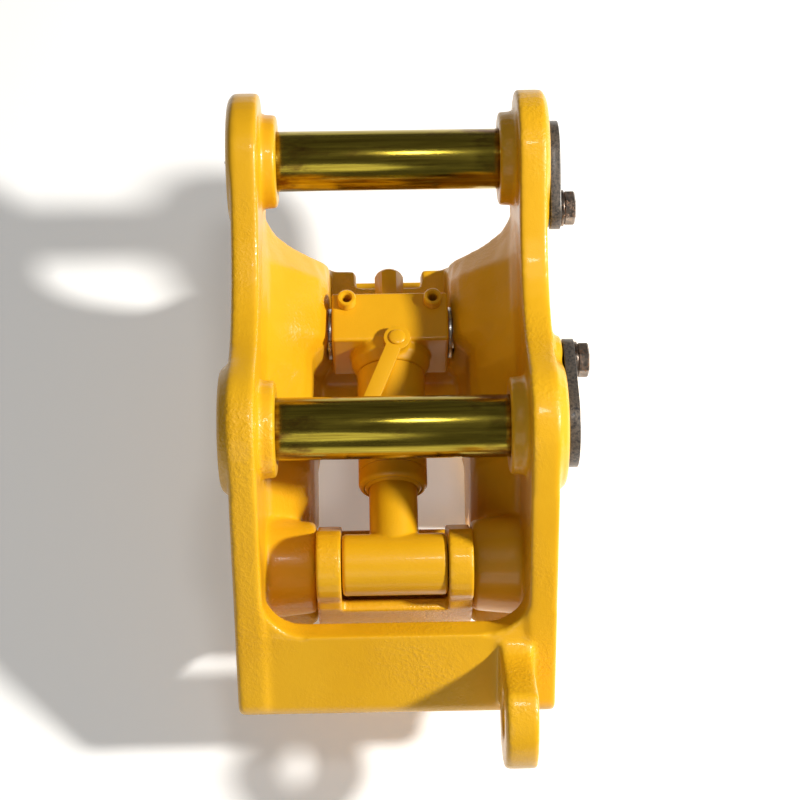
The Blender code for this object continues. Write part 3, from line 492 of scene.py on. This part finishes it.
FINISHES = {
    "yellow_enamel": enamel("cast_enamel", 0.9, 0.25),
    "zinc_plated_pin": plated_pin(),
    "black_keeper_paint": black_keeper(),
    "scratched_bolt_steel": worn_bolt(),
    "bright_steel": machined("bright_steel", (0.62, 0.58, 0.53, 1), (0.40, 0.36, 0.32, 1), 0.22,
                             (0.2, 1.0, 1.0)),
    "hard_chrome": machined("hard_chrome", (0.70, 0.70, 0.71, 1), (0.60, 0.60, 0.61, 1), 0.05,
                            (0.1, 1.0, 1.0)),
    "bearing_bronze": machined("bearing_bronze", (0.60, 0.38, 0.16, 1), (0.44, 0.25, 0.10, 1), 0.25,
                               (1.0, 1.0, 1.0)),
    "seal_rubber": seal_rubber(),
}
SMOOTH_ENAMEL = enamel("smooth_enamel", 0.22, 0.35)


# ---------------------------------------------------------------- mesh tools
def link_piece(name, mesh, nodes, finish=None, sharp_degrees=None):
    """Piece that stands for one CAD node or a few of one kind, on their body and material slot."""
    nodes = [nodes] if isinstance(nodes, str) else nodes
    piece = add_object(name, mesh)
    mesh.materials.clear()
    mesh.materials.append(finish or FINISHES[NODE_SLOT[nodes[0]]])
    mesh.shade_smooth()
    if sharp_degrees:
        mesh.set_sharp_from_angle(angle=math.radians(sharp_degrees))
    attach(piece, NODE_BODY[nodes[0]])
    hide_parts(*nodes)


def finished_mesh(work, tools=()):
    """Plain mesh of the work with its modifiers applied; the work and its tools are removed."""
    graph = bpy.context.evaluated_depsgraph_get()
    mesh = bpy.data.meshes.new_from_object(work.evaluated_get(graph))
    for spent in (work, *tools):
        bpy.data.objects.remove(spent)
    return mesh


def cad_copy(node, flatten=False):
    """Copy of a CAD mesh with its doubles merged and, for a plate, its flat faces made whole."""
    mesh = frame["nodes"][node].data.copy()
    bm = bmesh.new()
    bm.from_mesh(mesh)
    bmesh.ops.remove_doubles(bm, verts=bm.verts, dist=MERGE_DISTANCE)
    if flatten:
        bmesh.ops.dissolve_limit(bm, angle_limit=FLAT_ANGLE, verts=bm.verts, edges=bm.edges)
    bm.to_mesh(mesh)
    bm.free()
    return mesh


def melt(work, voxel, rounds, keep):
    """Make the work one fine skin, its edges and corners rounded like a casting's."""
    remesh = work.modifiers.new("skin", "REMESH")
    remesh.mode = "VOXEL"
    remesh.voxel_size = voxel
    smooth = work.modifiers.new("round", "SMOOTH")
    smooth.factor = 0.5
    smooth.iterations = rounds
    thin = work.modifiers.new("thin", "DECIMATE")
    thin.ratio = keep


def round_edges(work, width, segments, degrees):
    """Bevel the edges that turn by more than some degrees."""
    bevel = work.modifiers.new("edge", "BEVEL")
    bevel.width = width
    bevel.segments = segments
    bevel.limit_method = "ANGLE"
    bevel.angle_limit = math.radians(degrees)


def add_tool(work, mesh, operation):
    """Closed mesh that an exact Boolean cuts from the work, or trims it to."""
    tool = add_object("tool", mesh)
    cut = work.modifiers.new("cut", "BOOLEAN")
    cut.operation = operation
    cut.object = tool
    cut.solver = "EXACT"
    return tool


def turned(profile, axis, centre=ORIGIN, sides=ROUND_SIDES, ring=False):
    """Solid of revolution from (radius, place along the axis) points."""
    bm = bmesh.new()
    rows = []
    for radius, along in profile:
        row = []
        for i in range(sides if radius > 0.0 else 1):
            turn = 2.0 * math.pi * i / sides
            a, b = radius * math.cos(turn), radius * math.sin(turn)
            place = {"X": (along, a, b), "Y": (a, along, b), "Z": (a, b, along)}[axis]
            row.append(bm.verts.new(Vector(centre) + Vector(place)))
        rows.append(row)
    pairs = list(zip(rows, rows[1:]))
    if ring:
        pairs.append((rows[-1], rows[0]))
    for low, high in pairs:
        for i in range(sides):
            quad = [low[i % len(low)], low[(i + 1) % len(low)],
                    high[(i + 1) % len(high)], high[i % len(high)]]
            corners = list(dict.fromkeys(quad))
            if len(corners) > 2:
                bm.faces.new(corners)
    bmesh.ops.recalc_face_normals(bm, faces=bm.faces)
    if bm.calc_volume(signed=True) < 0.0:
        bmesh.ops.reverse_faces(bm, faces=bm.faces)
    mesh = bpy.data.meshes.new("turned")
    bm.to_mesh(mesh)
    bm.free()
    return mesh


def plain_bar(radius, start, end, axis="Y", centre=ORIGIN, ease=0.0, sides=ROUND_SIDES):
    """Closed round bar between two places along an axis, its ends eased or left square."""
    line = [(0.0, start), (radius - ease, start), (radius, start + ease), (radius, end - ease),
            (radius - ease, end), (0.0, end)]
    if not ease:
        line = [(0.0, start), (radius, start), (radius, end), (0.0, end)]
    return turned(line, axis, centre, sides)


def middle_and_size(node):
    low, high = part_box(node)
    return (low + high) / 2, high - low


# ---------------------------------------------------------------- rows of hardware
class Tree:
    """One geometry tree under construction: adds nodes and joins their sockets."""

    def __init__(self, name, inputs):
        self.group = bpy.data.node_groups.new(name, "GeometryNodeTree")
        sockets = self.group.interface
        sockets.new_socket(name="Places", in_out="INPUT", socket_type="NodeSocketGeometry")
        for label, kind, value in inputs:
            socket = sockets.new_socket(name=label, in_out="INPUT", socket_type=kind)
            socket.default_value = value
        sockets.new_socket(name="Finish", in_out="INPUT", socket_type="NodeSocketMaterial")
        sockets.new_socket(name="Pieces", in_out="OUTPUT", socket_type="NodeSocketGeometry")
        self.given = self.group.nodes.new("NodeGroupInput").outputs
        self.result = self.group.nodes.new("NodeGroupOutput").inputs

    def put(self, kind, links, values=None, **settings):
        node = self.group.nodes.new(kind)
        for key, value in settings.items():
            setattr(node, key, value)
        for label, value in (values or {}).items():
            node.inputs[label].default_value = value
        for label, source in links.items():
            self.group.links.new(source, node.inputs[label])
        return node.outputs[0]

    def sum(self, operation, first, second=0.0):
        return math_node(self.group, operation, first, second)

    def finish(self, shape):
        """Stand the shape on every place, along X, and give it its material."""
        lying = self.put("GeometryNodeTransform", {"Geometry": shape},
                         {"Rotation": (0.0, math.radians(90.0), 0.0)})
        copies = self.put("GeometryNodeInstanceOnPoints",
                          {"Points": self.given["Places"], "Instance": lying})
        real = self.put("GeometryNodeRealizeInstances", {"Geometry": copies})
        done = self.put("GeometryNodeSetMaterial",
                        {"Geometry": real, "Material": self.given["Finish"]})
        self.group.links.new(done, self.result["Pieces"])
        return self.group


def make_ring_row():
    """Rings with rounded edges: washers, bushes and retaining rings."""
    tree = Tree("ring_row", [("Inner", "NodeSocketFloat", 0.010),
                             ("Outer", "NodeSocketFloat", 0.020),
                             ("Width", "NodeSocketFloat", 0.003),
                             ("Fillet", "NodeSocketFloat", 0.0004),
                             ("Sides", "NodeSocketInt", ROUND_SIDES)])
    mean = tree.sum("MULTIPLY", tree.sum("ADD", tree.given["Inner"], tree.given["Outer"]), 0.5)
    wall = tree.sum("SUBTRACT", tree.given["Outer"], tree.given["Inner"])
    path = tree.put("GeometryNodeCurvePrimitiveCircle",
                    {"Resolution": tree.given["Sides"], "Radius": mean}, mode="RADIUS")
    path = tree.put("GeometryNodeSetCurveNormal", {"Curve": path}, mode="Z_UP")
    section = tree.put("GeometryNodeCurvePrimitiveQuadrilateral",
                       {"Width": wall, "Height": tree.given["Width"]}, mode="RECTANGLE")
    section = tree.put("GeometryNodeFilletCurve",
                       {"Curve": section, "Radius": tree.given["Fillet"]},
                       {"Count": 2, "Limit Radius": True}, mode="POLY")
    ring = tree.put("GeometryNodeCurveToMesh", {"Curve": path, "Profile Curve": section})
    return tree.finish(ring)


def make_bar_row():
    """Bars with a chamfer at both ends; six sides make a hexagon."""
    tree = Tree("bar_row", [("Radius", "NodeSocketFloat", 0.010),
                            ("Length", "NodeSocketFloat", 0.010),
                            ("Chamfer", "NodeSocketFloat", 0.001),
                            ("Sides", "NodeSocketInt", ROUND_SIDES)])
    half = tree.sum("MULTIPLY", tree.given["Length"], 0.5)
    line = tree.put("GeometryNodeCurvePrimitiveLine", {})
    line = tree.put("GeometryNodeResampleCurve", {"Curve": line}, {"Count": 4})
    offset = tree.sum("SUBTRACT", tree.put("GeometryNodeInputIndex", {}), 1.5)
    is_end = tree.sum("GREATER_THAN", tree.sum("ABSOLUTE", offset), 1.0)
    inset = tree.sum("MULTIPLY", tree.given["Chamfer"], tree.sum("SUBTRACT", 1.0, is_end))
    along = tree.sum("MULTIPLY", tree.sum("SIGN", offset), tree.sum("SUBTRACT", half, inset))
    place = tree.put("ShaderNodeCombineXYZ", {"Z": along})
    line = tree.put("GeometryNodeSetPosition", {"Geometry": line, "Position": place})
    narrowing = tree.sum("MULTIPLY", tree.given["Chamfer"], is_end)
    girth = tree.sum("SUBTRACT", tree.given["Radius"], narrowing)
    section = tree.put("GeometryNodeCurvePrimitiveCircle", {"Resolution": tree.given["Sides"]},
                       {"Radius": 1.0}, mode="RADIUS")
    bar = tree.put("GeometryNodeCurveToMesh",
                   {"Curve": line, "Profile Curve": section, "Scale": girth}, {"Fill Caps": True})
    return tree.finish(bar)


TREES = {"ring": make_ring_row(), "bar": make_bar_row()}


def set_row(kind, name, places, finish, **sizes):
    """Plain mesh of one row of hardware, standing on the given places along X."""
    mesh = bpy.data.meshes.new(name)
    mesh.from_pydata([tuple(place) for place in places], [], [])
    work = add_object(name, mesh)
    row = work.modifiers.new("row", "NODES")
    row.node_group = TREES[kind]
    sockets = {item.name: item.identifier for item in TREES[kind].interface.items_tree
               if item.in_out == "INPUT"}
    for label, value in sizes.items():
        row[sockets[label]] = value
    row[sockets["Finish"]] = finish
    return close_up(finished_mesh(work))


def close_up(mesh):
    """Merge doubles and point every face outwards."""
    bm = bmesh.new()
    bm.from_mesh(mesh)
    bmesh.ops.remove_doubles(bm, verts=bm.verts, dist=MERGE_DISTANCE)
    bmesh.ops.recalc_face_normals(bm, faces=bm.faces)
    bm.to_mesh(mesh)
    bm.free()
    return mesh


def join(meshes):
    """Several meshes in one."""
    bm = bmesh.new()
    for mesh in meshes:
        bm.from_mesh(mesh)
    total = bpy.data.meshes.new("joined")
    bm.to_mesh(total)
    bm.free()
    return total


# ---------------------------------------------------------------- the cylinder's own axes
def cylinder_axes():
    """The cylinder's own axes: Y from the rod end to the valve, Z out of the block's top."""
    along = Vector(JOINTS["rod_slide"]["axis"]).normalized()
    across = Vector((1.0, 0.0, 0.0))
    up = across.cross(along)
    turn = Matrix((across, along, up)).transposed().to_4x4()
    return Matrix.Translation(Vector(JOINTS["cylinder_swing"]["pos_m"])) @ turn


CYLINDER = cylinder_axes()


def extent(node):
    """Lowest and highest corner of a CAD node, measured along the cylinder's axes."""
    inverse = CYLINDER.inverted()
    points = np.array([tuple(inverse @ vert.co) for vert in frame["nodes"][node].data.vertices])
    return Vector(points.min(axis=0)), Vector(points.max(axis=0))


def upright_at(node):
    """Foot of the axis of a node that stands out of the block's top."""
    low, high = extent(node)
    return ((low.x + high.x) / 2, (low.y + high.y) / 2, 0.0)


# ---------------------------------------------------------------- castings
def cast_skin(node, voxel, rounds, keep):
    """CAD shape remade as one fine skin."""
    work = add_object("work", cad_copy(node))
    melt(work, voxel, rounds, keep)
    link_piece(f"{node}_skin", finished_mesh(work), node)


# ---------------------------------------------------------------- pins and nipples
def ground_pin(node, bore=0.0):
    """Ground pin with rounded leads and, where it has one, a grease way in its left end."""
    centre, size = middle_and_size(node)
    radius, half = size.z / 2, size.x / 2
    soft = 0.3 * PIN_CHAMFER
    left = [(radius - PIN_CHAMFER, -half), (radius - soft, -half + soft),
            (radius, -half + PIN_CHAMFER)]
    right = [(radius, half - PIN_CHAMFER), (radius - soft, half - soft),
             (radius - PIN_CHAMFER, half)]
    floor = -half + GREASE_WAY_DEPTH
    start = [(0.0, floor), (bore, floor), (bore, -half)] if bore else [(0.0, -half)]
    mesh = turned(start + left + right + [(0.0, half)], "X", centre)
    link_piece(f"{node}_ground", mesh, node, sharp_degrees=30)


def grease_nipple(node):
    """Nipple with a ball end, a waist, a collar and a shank."""
    centre, size = middle_and_size(node)
    half, collar = size.x / 2, size.y / 2
    ball, waist = 0.62 * collar, 0.46 * collar
    tip, collar_end = -half, -half + NIPPLE_COLLAR_END
    line = [(0.0, tip)]
    for step in range(1, 8):
        turn = math.pi * step / 9
        line.append((ball * math.sin(turn), tip + ball * (1.0 - math.cos(turn))))
    line += [(waist, tip + 1.9 * ball), (waist, tip + 2.3 * ball),
             (0.95 * collar, tip + 2.6 * ball), (collar, tip + 2.8 * ball), (collar, collar_end),
             (0.95 * collar, collar_end + 0.0006), (0.62 * collar, collar_end + 0.0009),
             (0.62 * collar, half), (0.0, half)]
    link_piece(f"{node}_turned", turned(line, "X", centre, SMALL_SIDES), node, sharp_degrees=35)


# ---------------------------------------------------------------- rings and washers
def pair(stem):
    return [f"{stem}_left", f"{stem}_right"]


def ring_pair(name, nodes, inner, fillet=RING_FILLET, finish=None):
    """Matching rings on one body, made by the ring tree."""
    places = [middle_and_size(node)[0] for node in nodes]
    size = middle_and_size(nodes[0])[1]
    finish = finish or FINISHES[NODE_SLOT[nodes[0]]]
    mesh = set_row("ring", name, places, finish, Inner=inner, Outer=size.z / 2, Width=size.x,
                   Fillet=fillet, Sides=ROUND_SIDES)
    link_piece(name, mesh, nodes, finish, 40)


# ---------------------------------------------------------------- keepers, bolts and lever
def edged_plate(node, width, finish=None):
    """CAD plate with its edges rounded."""
    work = add_object("work", cad_copy(node, flatten=True))
    round_edges(work, width, 3, 35)
    link_piece(f"{node}_edged", finished_mesh(work), node, finish, 40)


def keeper_bolts():
    """Both keeper bolts: hexagon heads and shanks on the places of their CAD nodes."""
    nodes = ["front_keeper_bolt", "rear_keeper_bolt"]
    finish = FINISHES["scratched_bolt_steel"]
    heads, shanks = [], []
    for node in nodes:
        low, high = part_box(node)
        middle = (low + high) / 2
        heads.append((high.x - BOLT_HEAD_LENGTH / 2, middle.y, middle.z))
        shank_end = high.x - BOLT_HEAD_LENGTH + SHANK_IN_HEAD
        shanks.append(set_row("bar", "shank", [((low.x + shank_end) / 2, middle.y, middle.z)],
                              finish, Radius=KEEPER_BOLT_R, Length=shank_end - low.x,
                              Chamfer=SHANK_CHAMFER, Sides=SMALL_SIDES))
    hexagons = set_row("bar", "heads", heads, finish, Radius=BOLT_HEAD_FLATS / math.sqrt(3.0),
                       Length=BOLT_HEAD_LENGTH, Chamfer=BOLT_HEAD_CHAMFER, Sides=6)
    link_piece("keeper_bolts", join([hexagons] + shanks), nodes, finish, 25)


def lever_rivet():
    """Low round rivet head on the lever's stud."""
    low, high = extent("lever_stud")
    head_r = (high.x - low.x) / 2
    under, top = high.z - RIVET_HEAD_DEPTH, high.z - RIVET_TOP_DEPTH
    line = [(0.0, low.z), (STUD_R, low.z), (STUD_R, under), (head_r - 0.0003, under),
            (head_r, under + 0.0003)]
    for step in range(8):
        turn = math.radians(90.0 * step / 8)
        line.append((head_r * math.cos(turn), top - RIVET_CROWN + RIVET_CROWN * math.sin(turn)))
    line.append((0.0, top))
    mesh = turned(line, "Z", upright_at("lever_stud"), SMALL_SIDES)
    mesh.transform(CYLINDER)
    link_piece("lever_rivet", mesh, "lever_stud", SMOOTH_ENAMEL, 50)


# ---------------------------------------------------------------- hydraulic cylinder
def ring_on_cylinder(name, profile, node):
    """Round piece with a bore, along the cylinder's axis."""
    mesh = turned(profile, "Y", ring=True)
    mesh.transform(CYLINDER)
    link_piece(name, mesh, node, SMOOTH_ENAMEL, 30)


def cylinder_tube():
    """Open tube with eased ends."""
    low, high = extent("cylinder_tube")
    outer = (high.x - low.x) / 2
    inner, edge = outer - TUBE_WALL, outer - TUBE_EASE
    profile = [(inner, low.y), (edge, low.y), (outer, low.y + TUBE_EASE),
               (outer, high.y - TUBE_EASE), (edge, high.y), (inner, high.y)]
    ring_on_cylinder("tube_drawn", profile, "cylinder_tube")


def cylinder_gland():
    """Gland with a rounded nose, a seat for the wiper and a spigot in the tube."""
    low, high = extent("cylinder_gland")
    radius = (high.x - low.x) / 2
    shoulder = high.y - GLAND_SPIGOT
    seat_end = low.y + WIPER_SEAT
    line = [(ROD_R + CLEARANCE, high.y), (BORE_R - CLEARANCE, high.y),
            (BORE_R - CLEARANCE, shoulder), (radius - GLAND_EASE, shoulder),
            (radius, shoulder - GLAND_EASE)]
    for step in range(7):
        turn = math.radians(90.0 * step / 6)
        line.append((radius - GLAND_NOSE + GLAND_NOSE * math.cos(turn),
                     low.y + GLAND_NOSE - GLAND_NOSE * math.sin(turn)))
    line += [(WIPER_SEAT_R, low.y), (WIPER_SEAT_R, seat_end), (ROD_R + CLEARANCE, seat_end)]
    ring_on_cylinder("gland_turned", line, "cylinder_gland")


def rod_wiper():
    """Wiper with a soft lip round the rod."""
    low, high = extent("rod_wiper")
    lip = [(ROD_R + CLEARANCE, high.y), (WIPER_R, high.y), (WIPER_R, low.y + 0.0016),
           (WIPER_R - 0.0006, low.y + 0.0010), (ROD_R + 0.0016, low.y + 0.0002),
           (ROD_R + 0.0008, low.y), (ROD_R + CLEARANCE, low.y + 0.0004)]
    ring_on_cylinder("wiper_lip", lip, "rod_wiper")


def welded(name, node, solids, cuts):
    """Solids melted into one casting, with a weld's fillet where they meet, then bored."""
    for mesh in solids + cuts:
        mesh.transform(CYLINDER)
    work = add_object("work", join(solids))
    melt(work, *WELD_SKIN)
    tools = [add_tool(work, mesh, "DIFFERENCE") for mesh in cuts]
    link_piece(name, finished_mesh(work, tools), node, SMOOTH_ENAMEL, 50)


def piston_rod():
    """Rod with its cross barrel, bored wide for the rod-end pin."""
    low, high = extent("piston_rod")
    barrel_r, barrel_half = (high.z - low.z) / 2, (high.x - low.x) / 2
    axis_y = low.y + barrel_r
    eye = (0.0, axis_y, 0.0)
    solids = [plain_bar(ROD_R, axis_y, high.y - PISTON_STACK),
              plain_bar(SPIGOT_R, axis_y, high.y),
              plain_bar(barrel_r, -barrel_half, barrel_half, "X", eye, BARREL_EASE)]
    bore = plain_bar(ROD_END_PIN_R + ROD_END_PLAY, -BARREL_BORE_HALF, BARREL_BORE_HALF, "X", eye)
    welded("rod_and_barrel", "piston_rod", solids, [bore])


def rounded_block(half_x, half_y, half_z, radius):
    """Box with rounded edges, in the cylinder's own axes."""
    bm = bmesh.new()
    bmesh.ops.create_cube(bm, size=2.0)
    bmesh.ops.scale(bm, vec=(half_x, half_y, half_z), verts=bm.verts)
    bmesh.ops.bevel(bm, geom=bm.edges[:], offset=radius, segments=4, profile=0.5,
                    affect="EDGES", clamp_overlap=True)
    mesh = bpy.data.meshes.new("block")
    bm.to_mesh(mesh)
    bm.free()
    return mesh


def cylinder_block():
    """Manifold block with the tube's neck and the lever's boss, drilled for what it holds."""
    low, high = extent("cylinder_block")
    stud = upright_at("lever_stud")
    neck = turned([(0.0, -TUBE_START), (TUBE_R, -TUBE_START), (NECK_R, NECK_START),
                   (NECK_R, NECK_END), (0.0, NECK_END)], "Y")
    solids = [rounded_block(high.x, BLOCK_HALF_Y, BLOCK_HALF_Z, BLOCK_EASE), neck,
              plain_bar(LEVER_BOSS_R, 0.0, high.z, "Z", stud)]
    middle_bores = [plain_bar(CHAMBER_R, CHAMBER_MOUTH, CHAMBER_FLOOR),
                    plain_bar(VALVE_STEM_R + CLEARANCE, *VALVE_BORE, sides=SMALL_SIDES),
                    plain_bar(STUD_R + CLEARANCE, *STUD_BORE, "Z", stud, sides=SMALL_SIDES)]
    inner, outer = TRUNNION_BORE
    trunnion_bores = [plain_bar(TRUNNION_R + CLEARANCE, start, end, "X")
                      for start, end in ((-outer, -inner), (inner, outer))]
    port_bores = [plain_bar(PORT_HOLE_R, *PORT_BORE, "Z", upright_at(node), sides=SMALL_SIDES)
                  for node in pair("port_adapter")]
    welded("block_and_neck", "cylinder_block", solids,
           [join(middle_bores), join(trunnion_bores), join(port_bores)])


def port_adapter(node):
    """Hose adapter: a foot in the block, a threaded collar and a coned mouth."""
    low, high = extent(node)
    radius, foot_r = (high.x - low.x) / 2, PORT_HOLE_R - CLEARANCE
    root_r = radius - THREAD_DEPTH
    line = [(PORT_MOUTH_R, low.z), (foot_r, low.z), (foot_r, PORT_SEAT_Z), (root_r, PORT_SEAT_Z),
            (radius, PORT_SEAT_Z + THREAD_DEPTH)]
    pitch = (high.z - PORT_SEAT_Z - 0.0030) / PORT_THREADS
    for turn in range(PORT_THREADS):
        base = PORT_SEAT_Z + 0.0016 + turn * pitch
        line += [(radius, base), (root_r, base + 0.3 * pitch), (root_r, base + 0.6 * pitch),
                 (radius, base + 0.9 * pitch)]
    line += [(radius, high.z - 0.0010), (radius - 0.0008, high.z),
             (PORT_MOUTH_R + 0.0012, high.z), (PORT_MOUTH_R, high.z - 0.0020)]
    mesh = turned(line, "Z", upright_at(node), SMALL_SIDES, True)
    mesh.transform(CYLINDER)
    link_piece(f"{node}_turned", mesh, node, SMOOTH_ENAMEL, 25)


def valve_cartridge():
    """Check valve: a round stem and a long hexagon head with a domed, chamfered end."""
    low, high = extent("check_valve_cartridge")
    flat_r, corner_r = VALVE_FLATS / 2, VALVE_FLATS / math.sqrt(3.0)
    start, end = BLOCK_HALF_Y + CLEARANCE, high.y
    hexagon = [(0.0, start), (corner_r, start), (corner_r, end), (0.0, end)]
    cone_r = corner_r + 0.0006
    dome = [(0.0, start - 0.001), (cone_r, start - 0.001), (cone_r, end - 0.0050),
            (flat_r, end - 0.0022), (0.82 * flat_r, end - 0.0004), (0.70 * flat_r, end + 0.0001),
            (0.0, end + 0.0001)]
    work = add_object("work", turned(hexagon, "Y", sides=6))
    tool = add_tool(work, turned(dome, "Y"), "INTERSECT")
    round_edges(work, VALVE_EDGE, 2, 40)
    stem = plain_bar(VALVE_STEM_R, low.y, start + 0.002, ease=0.0005)
    made = join([finished_mesh(work, [tool]), stem])
    made.transform(CYLINDER)
    link_piece("valve_cartridge_hex", made, "check_valve_cartridge", SMOOTH_ENAMEL, 30)


# ---------------------------------------------------------------- the scene
for node_name, node_object in frame["nodes"].items():
    node_object.data.materials.clear()
    node_object.data.materials.append(FINISHES[NODE_SLOT[node_name]])

make_camera()
make_surroundings()

cast_skin("coupler_body", *BODY_SKIN)
cast_skin("moving_jaw", *JAW_SKIN)

for pin_name in ("front_pin", "rear_pin"):
    ground_pin(pin_name, GREASE_WAY_R)
for pin_name in ("rod_end_pin", "jaw_pivot_pin"):
    ground_pin(pin_name)
for pin_name in ("front_pin", "rear_pin"):
    grease_nipple(f"{pin_name}_grease_nipple")

ring_pair("trunnion_thrust_washers", pair("trunnion_washer"), TRUNNION_R + CLEARANCE)
ring_pair("keeper_washers", ["front_keeper_washer", "rear_keeper_washer"],
          KEEPER_BOLT_R + 2 * CLEARANCE, WASHER_FILLET, FINISHES["scratched_bolt_steel"])
ring_pair("jaw_pin_retaining_rings", pair("jaw_pin_ring"), JAW_PIN_R + CLEARANCE)
ring_pair("jaw_bushes", pair("jaw_bush"), JAW_PIN_R + CLEARANCE, BUSH_FILLET)
ring_pair("rod_pin_retaining_rings", pair("rod_pin_ring"), ROD_END_PIN_R + CLEARANCE)

edged_plate("front_pin_keeper", KEEPER_EDGE)
edged_plate("rear_pin_keeper", KEEPER_EDGE)
keeper_bolts()

cylinder_tube()
cylinder_gland()
rod_wiper()
piston_rod()
cylinder_block()
for adapter_name in pair("port_adapter"):
    port_adapter(adapter_name)
valve_cartridge()

edged_plate("lock_lever", LEVER_EDGE, SMOOTH_ENAMEL)
lever_rivet()
